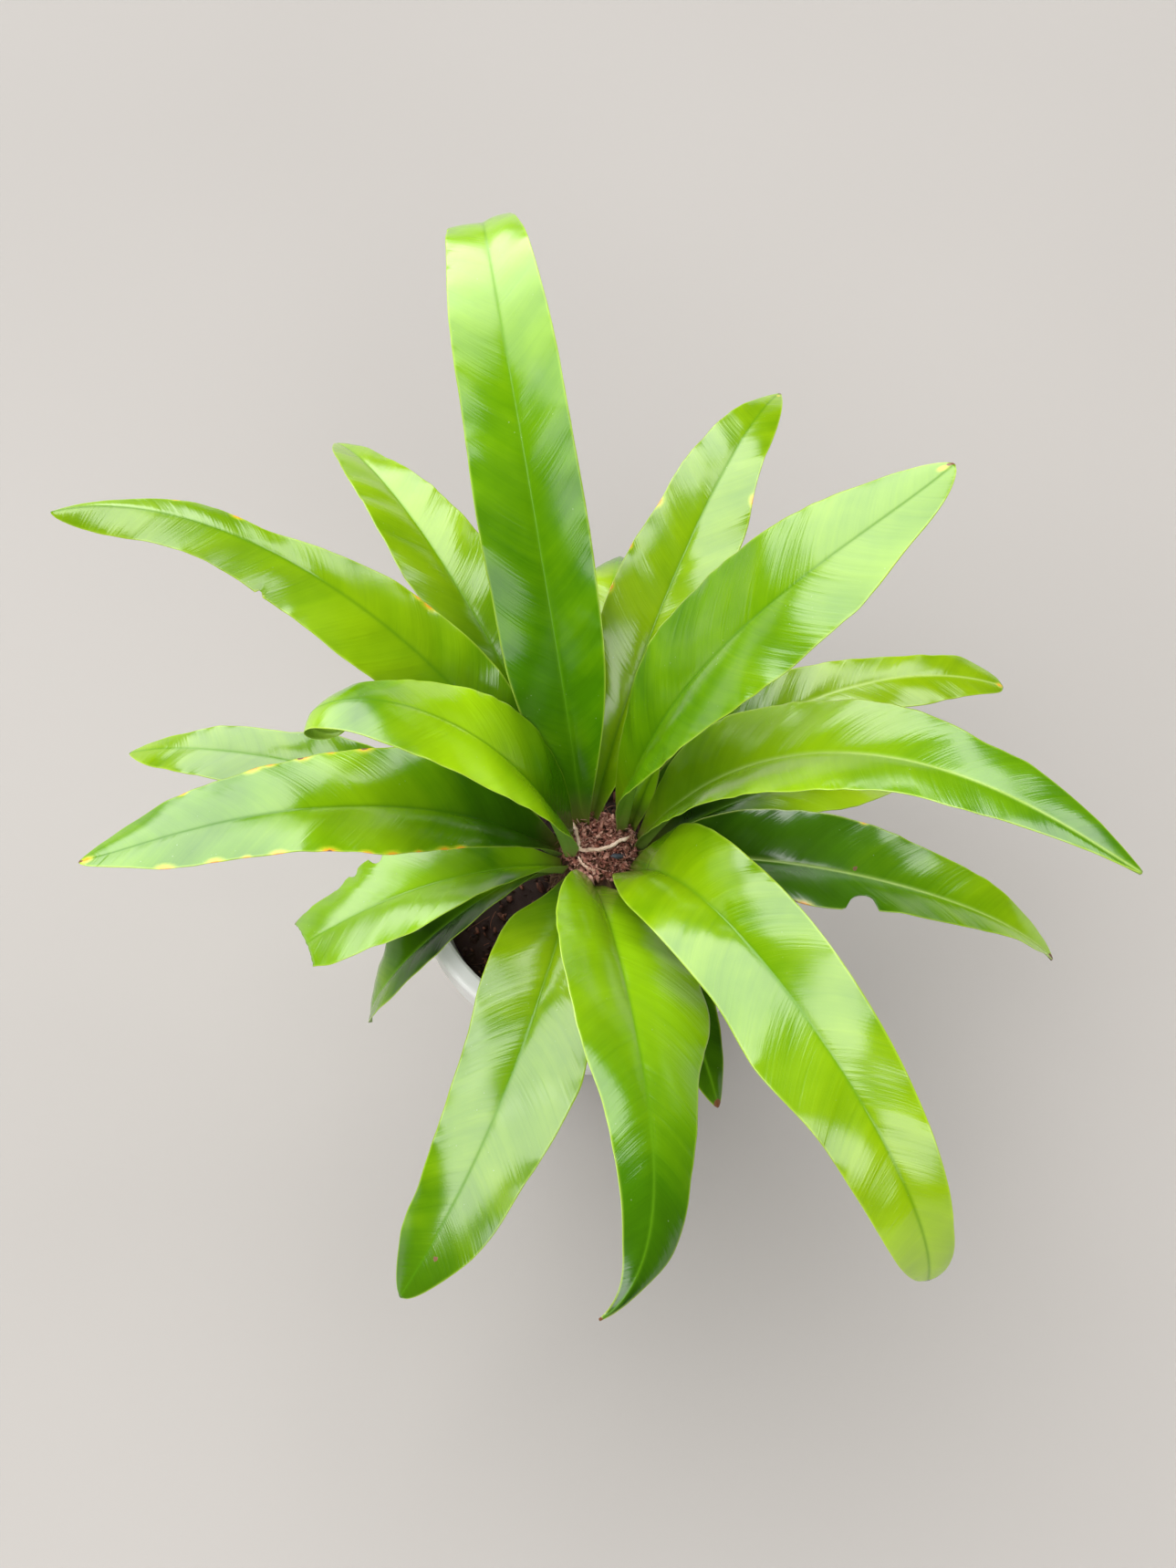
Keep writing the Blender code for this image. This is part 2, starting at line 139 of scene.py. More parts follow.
class Look(NamedTuple):
    """How one frond is coloured, shaped and damaged.  Tones run from 0, deep green, to 1, lime, and hold
    painted shade as well as the leaf's own colour: darker towards the crown and on fronds that lie under
    others.

    Lengths are fractions of the frond's length.  Across the blade, 1 is its left margin
    looking outward, and -1 its right margin.
    """

    shaded_tones: tuple = (0.25, 0.45, 0.60, 0.70, 0.75)  # at the foot, 1/4, 1/2, 3/4 and the tip
    rib: float = 0.35  # 0 is a dark midrib, 1 a pale one
    gloss: float = 1.0  # strength of its waxy shine
    quilt: float = 0.0004  # height of the swellings between side veins, in metres
    pitch: float = 0.026  # and their spacing along the frond
    camber: float = 0.14  # how much each half blade bulges
    crimp: float = 0.0002  # height of the short waves of the margin
    left: tuple = ()  # (length fraction, factor) knots that widen or narrow the left half
    right: tuple = ()  # and the right half
    nicks: tuple = ()  # (length fraction, side -1 or 1, depth, half length) in metres
    yellow: tuple = ()  # (length fraction, -1 to 1 across, radius) of yellowed spots
    brown: tuple = ()  # and of dead brown spots
    shine: tuple = ()  # (length fraction, factor) knots for its shine
    cool: float = 0.2  # from 0, a yellowish green, to 1, a bluish green


# These are fitted values too: the tones, cool and the left and right knots come from measurements
# made by other programs, and most spots and nicks were placed by one.
LOOKS = {
    "back_tall": Look(
        (0.23, 0.26, 0.37, 0.55, 0.44), 0.25, 1.0, 0.0002, 0.024,
        right=((0.60, 1.0), (0.75, 0.95), (0.85, 0.82), (0.95, 0.66)),
        brown=((0.15, 0.98, 0.0012),),
        shine=((0.0, 0.4), (0.60, 0.5), (0.72, 1.2), (0.84, 1.2), (0.91, 0.4), (1.0, 0.1)),
        cool=0.40),
    "back_right": Look(
        (0.34, 0.48, 0.44, 0.41, 0.49), 0.15, 1.0, 0.0002, 0.022,
        left=((0.50, 1.0), (0.60, 0.85), (0.70, 1.0), (0.80, 1.08), (0.90, 1.13)),
        right=((0.60, 1.02), (0.67, 0.89), (0.75, 0.86), (0.85, 1.0), (0.95, 1.16)),
        yellow=((0.42, 1.0, 0.0020), (0.50, 1.0, 0.0014), (0.59, 1.0, 0.0022), (0.65, -1.0, 0.0022),
                (0.98, -0.3, 0.0010)),
        brown=((0.995, -0.3, 0.0008),),
        cool=0.14),
    "right_broad": Look(
        (0.58, 0.28, 0.33, 0.40, 0.43), 0.05, 1.0, 0.0002, 0.030,
        left=((0.60, 1.0), (0.70, 0.97), (0.80, 1.03), (0.95, 1.12)),
        right=((0.75, 1.0), (0.80, 1.06), (0.90, 0.86), (1.0, 0.90)),
        yellow=((0.985, 0.3, 0.0014),),
        brown=((0.997, 0.4, 0.0010),),
        cool=0.25),
    "left_young": Look(
        (0.16, 0.29, 0.78, 0.29, 1.00), 0.15, 1.0, 0.0002, 0.030,
        left=((0.70, 1.0), (0.80, 0.85), (0.90, 0.60), (1.0, 0.50)),
        right=((0.35, 1.0), (0.50, 0.90), (0.60, 0.84), (0.70, 0.86), (0.80, 1.12), (0.88, 1.55),
               (0.94, 2.2), (1.0, 2.8)),
        cool=0.27),
    "right_arching": Look(
        (0.50, 0.41, 0.64, 0.34, 0.26), 0.9, 1.0, 0.0003, 0.030,
        left=((0.50, 1.0), (0.65, 1.09), (0.75, 1.04), (0.80, 1.26), (0.95, 1.45)),
        right=((0.60, 1.0), (0.70, 0.88), (0.75, 1.03), (0.85, 0.91), (0.95, 0.61)),
        cool=0.30),
    "right_bitten": Look(
        (0.05, 0.14, 0.25, 0.42, 0.70), 0.9, 1.0, 0.0002, 0.026,
        right=((0.30, 1.0), (0.45, 1.27), (0.55, 1.05), (0.65, 0.95), (0.75, 0.76), (0.85, 0.63),
               (0.90, 0.90), (0.95, 0.62)),
        nicks=((0.51, -1, 0.0105, 0.0050),),
        yellow=((0.415, -1.0, 0.0026), (0.49, 1.0, 0.0014)),
        brown=((0.40, -1.0, 0.0009), (0.49, 0.10, 0.0010), (0.99, 0.0, 0.0018)),
        cool=0.29),
    "front_broad": Look(
        (0.34, 0.47, 0.35, 0.48, 0.60), 0.15, 1.0, 0.0003, 0.030,
        left=((0.50, 1.0), (0.65, 0.96), (0.90, 0.84), (0.95, 1.04)),
        right=((0.50, 1.0), (0.60, 1.18), (0.70, 0.98), (0.95, 1.07)),
        cool=0.14),
    "front_drip_tip": Look(
        (0.49, 0.64, 0.49, 0.34, 0.02), 0.3, 1.0, 0.0002, 0.030,
        left=((0.40, 1.0), (0.53, 1.20), (0.65, 1.0), (0.80, 1.10), (0.90, 1.65), (0.94, 1.0), (1.0, 0.8)),
        right=((0.60, 1.0), (0.70, 0.84), (0.80, 0.94), (0.90, 1.19), (0.95, 0.92)),
        brown=((1.0, 0.0, 0.0012),),
        cool=0.38),
    "front_left": Look(
        (0.16, 0.48, 0.35, 0.35, 0.22), 0.15, 1.0, 0.0002, 0.030,
        left=((0.40, 1.0), (0.50, 1.15), (0.60, 1.05), (0.70, 0.94), (0.85, 1.07), (0.95, 0.94)),
        right=((0.10, 1.0), (0.20, 1.45), (0.30, 1.16), (0.40, 1.0), (0.45, 0.92), (0.65, 0.86),
               (0.80, 0.95), (0.90, 1.27)),
        brown=((0.89, 0.30, 0.0011),),
        cool=0.10),
    "left_torn": Look(
        (1.00, 0.31, 0.74, 0.49, 0.43), 0.45, 1.0, 0.0001, 0.020,
        left=((0.50, 1.0), (0.65, 0.96), (0.75, 1.0), (0.80, 0.75)),
        right=((0.45, 1.0), (0.60, 1.08), (0.70, 0.95), (0.78, 1.06), (0.86, 1.40)),
        nicks=((0.545, -1, 0.0055, 0.0030), (0.625, -1, 0.0026, 0.0018), (0.68, -1, 0.0010, 0.0030),
               (0.80, -1, 0.0009, 0.0024)),
        yellow=((0.41, -1.0, 0.0014), (0.62, -1.0, 0.0014)),
        brown=((0.85, -1.0, 0.0010),),
        cool=0.47),
    "left_broad": Look(
        (0.15, 0.22, 0.50, 0.32, 0.38), 0.05, 1.0, 0.0003, 0.030,
        left=((0.40, 1.0), (0.50, 1.14), (0.55, 1.02), (0.70, 0.95), (0.85, 1.04), (0.95, 0.79)),
        right=((0.70, 1.0), (0.80, 1.16), (0.85, 1.38), (1.0, 1.40)),
        yellow=((0.35, 1.0, 0.0022), (0.38, 1.0, 0.0024), (0.43, 1.0, 0.0015), (0.48, 1.0, 0.0024),
                (0.52, 1.0, 0.0020), (0.58, 1.0, 0.0028), (0.66, 1.0, 0.0024), (0.71, 1.0, 0.0014),
                (0.76, 1.0, 0.0024), (0.84, 1.0, 0.0026), (0.80, -1.0, 0.0018), (0.67, -1.0, 0.0028),
                (0.64, -1.0, 0.0020), (0.58, -1.0, 0.0026), (0.53, -1.0, 0.0018), (0.47, -1.0, 0.0028),
                (0.985, 0.0, 0.0022)),
        brown=((0.585, -1.0, 0.0012), (0.47, -1.0, 0.0012), (0.58, 1.0, 0.0008), (0.997, 0.0, 0.0009)),
        cool=0.33),
    "left_wavy": Look(
        (0.09, 0.29, 0.49, 0.40, 0.48), 0.15, 1.0, 0.0003, 0.028,
        left=((0.40, 1.0), (0.50, 1.14), (0.60, 1.03), (0.75, 0.92), (0.85, 1.10), (0.90, 1.33),
              (0.95, 1.50)),
        right=((0.50, 0.98), (0.60, 0.74), (0.70, 0.54), (0.75, 0.82), (0.80, 0.99), (0.85, 0.93),
               (0.90, 0.68), (0.95, 0.58)),
        nicks=((0.66, 1, 0.0016, 0.0014),),
        yellow=((0.74, -1.0, 0.0022), (0.44, -1.0, 0.0026), (0.46, -1.0, 0.0018), (0.83, -1.0, 0.0012),
                (0.66, 1.0, 0.0016)),
        cool=0.22),
    "right_low": Look(
        (0.08, 0.21, 0.46, 0.49, 0.44), 0.95, 1.0, 0.0002, 0.024,
        left=((0.50, 1.0), (0.60, 0.92), (0.75, 0.76), (0.85, 0.98), (0.90, 1.39)),
        right=((0.65, 1.0), (0.75, 1.11), (0.95, 0.91)),
        yellow=((0.99, 0.0, 0.0018),),
        cool=0.11),
    "right_yellowed": Look(
        (0.01, 0.06, 0.60, 1.00, 1.00), 0.4, 1.0, 0.0002, 0.024,
        right=((0.50, 1.0), (0.60, 0.92), (0.80, 0.84)),
        yellow=((0.97, 0.0, 0.0050), (0.99, -0.6, 0.0030)),
        cool=0.24),
    "front_under": Look((0.20, 0.30, 0.40, 0.35, 0.20), 0.4, 0.6, 0.0002, 0.020),
    "front_short": Look(
        (0.01, 0.04, 0.09, 0.07, 0.27), 0.4, 0.6, 0.0002, 0.020,
        brown=((0.99, 0.0, 0.0026),),
        cool=0.11),
    "left_under": Look(
        (0.26, 0.40, 0.01, 0.37, 0.37), 0.4, 0.3, 0.0002, 0.020,
        left=((0.30, 1.0), (0.45, 0.85), (0.60, 0.72), (0.90, 0.72)),
        cool=0.10),
    "left_low": Look(
        (0.02, 0.19, 0.37, 0.35, 0.51), 0.2, 1.0, 0.0002, 0.024,
        left=((0.70, 1.0), (0.85, 1.03), (0.95, 1.26)),
        right=((0.50, 1.0), (0.60, 0.80), (0.75, 0.98), (0.85, 0.76), (0.95, 0.90)),
        cool=0.10),
    "back_left": Look(
        (0.07, 0.30, 0.46, 0.50, 0.49), 0.3, 1.0, 0.0003, 0.026,
        left=((0.40, 1.0), (0.50, 1.09), (0.70, 0.98), (0.85, 1.05), (0.90, 1.26)),
        right=((0.50, 1.0), (0.60, 0.95), (0.75, 0.86), (0.85, 0.81), (0.90, 1.04)),
        cool=0.20),
    "back_low": Look((0.14, 0.29, 0.47, 0.63, 0.18), 0.4, 1.0, 0.0002, 0.024, cool=0.10),
    "crown_spear": Look((0.89, 0.38, 0.74, 0.80, 0.80), 0.3, 1.0, 0.0, 0.020, cool=0.52),
}

# Routes of the two surface roots, in millimetres
LONG_ROOT = ((-11.8, 7.6, 156.4), (-9.8, 3.6, 156.6), (-8.8, -1.0, 156.4), (-8.0, -5.0, 155.8),
             (-3.0, -5.4, 156.0), (3.0, -4.6, 156.2), (8.0, -1.8, 156.2), (12.5, 0.4, 156.6))
SHORT_ROOT = ((-8.6, -7.6, 153.6), (-7.4, -9.6, 152.6), (-4.6, -11.6, 151.4), (-1.6, -12.4, 150.2))
ROOT_RADIUS = 0.0008
FINE_ROOT_RADIUS = 0.0005


# ---------------------------------------------------------------- meshes


def add_mesh(name, points, faces, look, replaces=(), values=None):
    """A smooth mesh piece that rides on the root body.  values are per-point attributes."""
    mesh = bpy.data.meshes.new(name)
    mesh.from_pydata([tuple(p) for p in np.asarray(points, float)], [], faces)
    mesh.validate()
    mesh.shade_smooth()
    for key, value in (values or {}).items():
        attribute = mesh.attributes.new(key, "FLOAT", "POINT")
        attribute.data.foreach_set("value", np.asarray(value, np.float32))
    mesh.materials.append(look)
    obj = bpy.data.objects.new(name, mesh)
    bpy.context.scene.collection.objects.link(obj)
    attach(obj, "root")
    if replaces:
        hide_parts(*replaces)


# ---------------------------------------------------------------- node helpers


def new_material(name):
    made = bpy.data.materials.new(name)
    made.use_nodes = True
    tree = made.node_tree
    return made, tree, tree.nodes["Principled BSDF"]


def node(tree, kind, **settings):
    made = tree.nodes.new(kind)
    for key, value in settings.items():
        setattr(made, key, value)
    return made


def plug(tree, socket, value):
    """Joins an output to a socket, or sets the socket's own value."""
    if isinstance(value, bpy.types.NodeSocket):
        tree.links.new(value, socket)
    else:
        socket.default_value = value


def maths(tree, operation, a, b=0.0, clamp=False):
    made = node(tree, "ShaderNodeMath", operation=operation, use_clamp=clamp)
    plug(tree, made.inputs[0], a)
    plug(tree, made.inputs[1], b)
    return made.outputs[0]


def times(tree, a, b):
    return maths(tree, "MULTIPLY", a, b)


def plus(tree, a, b, clamp=False):
    return maths(tree, "ADD", a, b, clamp)


def swing(tree, pattern, amount):
    """A 0 to 1 pattern as a shift either way about nothing."""
    return times(tree, maths(tree, "SUBTRACT", pattern, 0.5), amount)


def blend(tree, share, a, b, kind="MIX"):
    made = node(tree, "ShaderNodeMix", data_type="RGBA", blend_type=kind)
    plug(tree, made.inputs[0], share)
    plug(tree, made.inputs[6], (*a, 1.0) if isinstance(a, tuple) else a)
    plug(tree, made.inputs[7], (*b, 1.0) if isinstance(b, tuple) else b)
    return made.outputs[2]


def ramp(tree, value, stops, smooth=False):
    made = node(tree, "ShaderNodeValToRGB")
    made.color_ramp.interpolation = "EASE" if smooth else "LINEAR"
    elements = made.color_ramp.elements
    while len(elements) < len(stops):
        elements.new(0.5)
    for element, (place, colour) in zip(elements, stops):
        element.position = place
        if isinstance(colour, tuple):
            element.color = (*colour, 1.0)
        else:
            element.color = (colour, colour, colour, 1.0)
    plug(tree, made.inputs[0], value)
    return made.outputs[0]


def noise(tree, vector, scale, detail=3.0, rough=0.5):
    made = node(tree, "ShaderNodeTexNoise")
    plug(tree, made.inputs["Vector"], vector)
    made.inputs["Scale"].default_value = scale
    made.inputs["Detail"].default_value = detail
    made.inputs["Roughness"].default_value = rough
    return made.outputs["Fac"]


def cells(tree, vector, scale):
    made = node(tree, "ShaderNodeTexVoronoi", feature="F1")
    plug(tree, made.inputs["Vector"], vector)
    made.inputs["Scale"].default_value = scale
    return made.outputs["Distance"]


def attribute(tree, name):
    made = node(tree, "ShaderNodeAttribute", attribute_name=name)
    return made.outputs["Fac"]


def combine(tree, x, y, z):
    made = node(tree, "ShaderNodeCombineXYZ")
    for socket, value in zip(made.inputs, (x, y, z)):
        plug(tree, socket, value)
    return made.outputs[0]


def place(tree):
    return node(tree, "ShaderNodeTexCoord").outputs["Object"]


def bump(tree, height, strength, distance, below=None):
    made = node(tree, "ShaderNodeBump")
    made.inputs["Strength"].default_value = strength
    made.inputs["Distance"].default_value = distance
    plug(tree, made.inputs["Height"], height)
    if below is not None:
        tree.links.new(below, made.inputs["Normal"])
    return made.outputs[0]


# ---------------------------------------------------------------- materials


def leaf_material():
    """Waxy green leaf, with side veins, a midrib, thin pale margins and damage."""
    made, tree, shader = new_material("leaf")
    shaded_tone = attribute(tree, "shaded_tone")
    vein = attribute(tree, "vein")
    across = attribute(tree, "across")
    along = attribute(tree, "along")
    seed = attribute(tree, "seed")
    # Side veins run obliquely, so their pattern is stretched along them
    lines = combine(tree, vein, times(tree, across, 0.06), seed)
    fine = noise(tree, lines, 0.95, 2.0, 0.5)
    broad = noise(tree, lines, 0.22, 2.0, 0.5)
    blade = combine(tree, along, across, seed)
    patches = noise(tree, blade, 0.035, 3.0, 0.55)
    shift = plus(tree, swing(tree, patches, 0.20), swing(tree, broad, 0.07))
    shift = plus(tree, shift, swing(tree, fine, 0.05))
    green = ramp(tree, plus(tree, shaded_tone, shift, clamp=True), (
        (0.00, (0.013, 0.045, 0.001)),
        (0.25, (0.058, 0.155, 0.001)),
        (0.36, (0.125, 0.250, 0.001)),
        (0.50, (0.240, 0.380, 0.002)),
        (0.75, (0.408, 0.600, 0.004)),
        (1.00, (0.560, 0.760, 0.010))))
    green = blend(tree, attribute(tree, "cool"), green, (0.5, 1.0, 1.0), "MULTIPLY")
    # The midrib, from dark to pale
    rib_colour = ramp(tree, attribute(tree, "rib_tone"), (
        (0.0, (0.030, 0.120, 0.002)), (0.5, (0.15, 0.35, 0.010)), (1.0, (0.50, 0.64, 0.18))))
    colour = blend(tree, times(tree, attribute(tree, "rib"), 0.55), green, rib_colour)
    colour = blend(tree, times(tree, attribute(tree, "edge"), 0.55), colour, (0.45, 0.60, 0.06))
    # Olive and tan where the stalk goes into the crown
    foot = times(tree, attribute(tree, "foot"), 0.85)
    colour = blend(tree, foot, colour, (0.16, 0.17, 0.035))
    # The underside is paler and duller
    under = attribute(tree, "under")
    colour = blend(tree, times(tree, under, 0.55), colour, (0.20, 0.36, 0.06))
    grit = noise(tree, blade, 0.9, 4.0, 0.6)
    yellow = times(tree, attribute(tree, "yellow"), plus(tree, grit, 0.45))
    yellow = ramp(tree, yellow, ((0.05, 0.0), (0.85, 1.0)))
    ripe = ramp(tree, yellow, ((0.40, (0.60, 0.62, 0.03)), (1.0, (0.70, 0.33, 0.02))))
    colour = blend(tree, yellow, colour, ripe)
    brown = times(tree, attribute(tree, "brown"), plus(tree, grit, 0.45))
    brown = ramp(tree, brown, ((0.30, 0.0), (0.45, 1.0)), True)
    colour = blend(tree, brown, colour, (0.16, 0.060, 0.018))
    # Dust: small pale specks
    specks = ramp(tree, cells(tree, blade, 0.32), ((0.05, 1.0), (0.085, 0.0)))
    few = ramp(tree, noise(tree, blade, 0.05, 2.0), ((0.52, 0.0), (0.66, 1.0)))
    colour = blend(tree, times(tree, times(tree, specks, few), 0.35), colour,
                   (0.55, 0.60, 0.40))
    plug(tree, shader.inputs["Base Color"], colour)
    rough = plus(tree, times(tree, patches, 0.12), 0.10)
    rough = plus(tree, rough, times(tree, under, 0.18))
    rough = plus(tree, rough, times(tree, brown, 0.30), clamp=True)
    plug(tree, shader.inputs["Roughness"], rough)
    dull = times(tree, attribute(tree, "rib"), -0.6)
    shine = times(tree, attribute(tree, "gloss"), plus(tree, dull, 1.0))
    plug(tree, shader.inputs["Specular IOR Level"], times(tree, shine, 0.80))
    low = bump(tree, fine, 0.25, 0.0003)
    high = bump(tree, broad, 0.20, 0.0008, low)
    plug(tree, shader.inputs["Normal"], bump(tree, noise(tree, blade, 1.6, 3.0, 0.6), 0.12, 0.0002, high))
    return made


def pot_material():
    """White moulded plastic, faintly mottled, with dust towards the foot and a few dark specks."""
    made, tree, shader = new_material("pot_plastic")
    where = place(tree)
    height = node(tree, "ShaderNodeSeparateXYZ")
    tree.links.new(where, height.inputs[0])
    soft = noise(tree, where, 18.0, 4.0, 0.6)
    white = ramp(tree, soft, ((0.30, (0.78, 0.78, 0.77)), (0.62, (0.86, 0.86, 0.85))))
    dust = noise(tree, where, 55.0, 5.0, 0.65)
    low = ramp(tree, height.outputs["Z"], ((0.0, 1.0), (0.045, 0.0)), True)
    mask = times(tree, low, ramp(tree, dust, ((0.42, 0.0), (0.66, 1.0))))
    colour = blend(tree, times(tree, mask, 0.45), white, (0.36, 0.30, 0.24))
    grains = ramp(tree, cells(tree, where, 210.0), ((0.06, 1.0), (0.12, 0.0)))
    rare = ramp(tree, noise(tree, where, 24.0, 2.0), ((0.56, 0.0), (0.68, 1.0)))
    colour = blend(tree, times(tree, times(tree, grains, rare), 0.6), colour,
                   (0.20, 0.13, 0.09))
    plug(tree, shader.inputs["Base Color"], colour)
    scuffs = noise(tree, combine(tree, height.outputs["X"], height.outputs["Y"],
                                 times(tree, height.outputs["Z"], 14.0)), 30.0, 4.0, 0.6)
    rough = plus(tree, times(tree, scuffs, 0.22), 0.24)
    plug(tree, shader.inputs["Roughness"], plus(tree, rough, times(tree, mask, 0.3)))
    shader.inputs["Subsurface Weight"].default_value = 0.05
    shader.inputs["Subsurface Radius"].default_value = (0.004, 0.004, 0.004)
    plug(tree, shader.inputs["Normal"], bump(tree, soft, 0.10, 0.0006))
    return made


def crumb_material(name, dark, mid, light, rough=0.92):
    """Bark, fibre or soil crumbs.  The tint attribute gives each crumb its own shade."""
    made, tree, shader = new_material(name)
    where = place(tree)
    grain = noise(tree, where, 900.0, 4.0, 0.7)
    tint = attribute(tree, "tint")
    value = plus(tree, times(tree, tint, 0.75), times(tree, grain, 0.45))
    value = maths(tree, "SUBTRACT", value, 0.10)
    colour = ramp(tree, value, ((0.0, dark), (0.5, mid), (1.0, light)))
    plug(tree, shader.inputs["Base Color"], colour)
    plug(tree, shader.inputs["Roughness"], plus(tree, times(tree, grain, 0.2), rough - 0.2))
    plug(tree, shader.inputs["Normal"], bump(tree, grain, 0.6, 0.0005))
    return made


def root_material():
    """Dry pale root skin, mottled and finely rough."""
    made, tree, shader = new_material("root_skin")
    where = place(tree)
    spots = noise(tree, where, 420.0, 4.0, 0.65)
    broad = noise(tree, where, 110.0, 2.0, 0.5)
    mottle = plus(tree, times(tree, spots, 0.6), times(tree, broad, 0.4))
    colour = ramp(tree, mottle,
                  ((0.30, (0.34, 0.19, 0.13)), (0.48, (0.72, 0.50, 0.38)), (0.68, (0.88, 0.74, 0.62))))
    plug(tree, shader.inputs["Base Color"], colour)
    plug(tree, shader.inputs["Roughness"], plus(tree, times(tree, spots, 0.2), 0.62))
    plug(tree, shader.inputs["Normal"], bump(tree, spots, 0.5, 0.0004))
    return made


# ---------------------------------------------------------------- fronds


def spine(f, count=401):
    """Midrib points and the blade's side and up directions, over the whole unbroken length."""
    along = np.linspace(0.0, 1.0, count)
    elevation = np.radians(f.rise - f.droop * along**f.bend - f.curl * along**8)
    azimuth = np.radians(f.heading + f.sweep * along**1.5 + f.hook * along**9)
    tangent = np.stack((np.cos(elevation) * np.cos(azimuth),
                        np.cos(elevation) * np.sin(azimuth),
                        np.sin(elevation)), axis=1)
    step = f.length / (count - 1)
    radius, height = f.ring
    foot = np.array((radius * cos(radians(f.seat)), radius * sin(radians(f.seat)), height))
    moves = 0.5 * (tangent[1:] + tangent[:-1]) * step
    points = foot + np.vstack((np.zeros(3), np.cumsum(moves, axis=0)))
    side = np.stack((-np.sin(azimuth), np.cos(azimuth), 0 * azimuth), axis=1)
    up = np.cross(tangent, side)
    tilt = np.radians(f.roll + f.twist * along)[:, None]
    side, up = side * np.cos(tilt) + up * np.sin(tilt), up * np.cos(tilt) - side * np.sin(tilt)
    return points, side, up


def half_width(f, along):
    growing = np.sin(pi / 2 * np.clip(along / f.belly, 0, 1)) ** 1.2
    fading = np.cos(pi / 2 * np.clip((along - f.belly) / (1 - f.belly), 0, 0.9999)) ** f.point
    full = np.where(along < f.belly, growing, fading)
    stipe = STIPE_HALF * (1 - along)
    return stipe + (f.width / 2 - stipe) * full + TIP_HALF * along


def fullness(knots, along):
    """A factor along the frond, such as one half's width, smoothed between its knots."""
    if not knots:
        return np.ones_like(along)
    places, factors = zip(*knots)
    fine = np.linspace(-0.1, 1.1, 241)
    kernel = np.exp(-0.5 * (np.arange(-12, 13) / 3.5) ** 2)
    row = np.pad(np.interp(fine, places, factors), 12, "edge")
    return np.interp(along, fine, np.convolve(row, kernel / kernel.sum(), "valid"))


def at(table, along):
    """Reads a table with rows evenly spaced over 0 to 1 at any length fractions."""
    rows = len(table) - 1
    row = np.clip(along, 0, 1) * rows
    low = np.clip(np.floor(row).astype(int), 0, rows - 1)
    share = (row - low)[..., None]
    return table[low] * (1 - share) + table[low + 1] * share


def smooth_noise(rng, places, spacing):
    """A gentle random curve with features about one spacing long."""
    total = np.zeros_like(places)
    for finer, weaker in ((1.0, 1), (0.62, 1.6), (0.37, 2.4)):
        phase = rng.uniform(0, 2 * pi)
        total += np.sin(2 * pi * places / (spacing * finer) + phase) / weaker
    return total / 1.6


def column_ends(f, t, rng):
    """The length fraction that each column runs to.  A torn frond ends in a ragged hollow."""
    ends = np.full_like(t, f.torn)
    if f.torn < 1:
        ends = ends - 0.028 * (t + 1) - 0.020 * (1 - t**2) - 0.003 * rng.random(len(t))
    return ends


def nick_inset(f, look, along, hand):
    """How far the nicks pull each margin in, in metres."""
    inset = np.zeros_like(along)
    for fraction, nick_side, depth, reach in look.nicks:
        away = np.abs(along - fraction) * f.length / reach
        dent = depth * np.sqrt(np.clip(1 - away**2, 0, 1))
        inset = inset + dent * (hand == nick_side)
    return inset


def shell_faces(rows, columns):
    """Quads of an upper and a lower sheet, joined round their rim."""
    count = (rows + 1) * columns
    grid = np.arange(count).reshape(rows + 1, columns)
    a, b, c, d = grid[:-1, :-1], grid[:-1, 1:], grid[1:, 1:], grid[1:, :-1]
    top = np.stack((a, d, c, b), -1).reshape(-1, 4)
    under = np.stack((a, b, c, d), -1).reshape(-1, 4) + count
    rim = []
    for line in (grid[:, 0], grid[-1, :], grid[::-1, -1], grid[0, ::-1]):
        first, second = line[:-1], line[1:]
        rim.append(np.stack((first, first + count, second + count, second), -1))
    return np.vstack([top, under] + rim).tolist()


# Columns across one half blade, from the midrib out, closer where the surface turns
HALF_COLUMNS = np.array((0, 0.02, 0.045, 0.075, 0.12, 0.18, 0.25, 0.33, 0.41, 0.49, 0.57, 0.65, 0.73,
                         0.80, 0.86, 0.91, 0.95, 0.98, 1.0))
ROW_SPACING = 0.0012
CRIMP_PITCH = 0.013
EDGE_WIDTH = 0.7  # of the pale margin, in millimetres


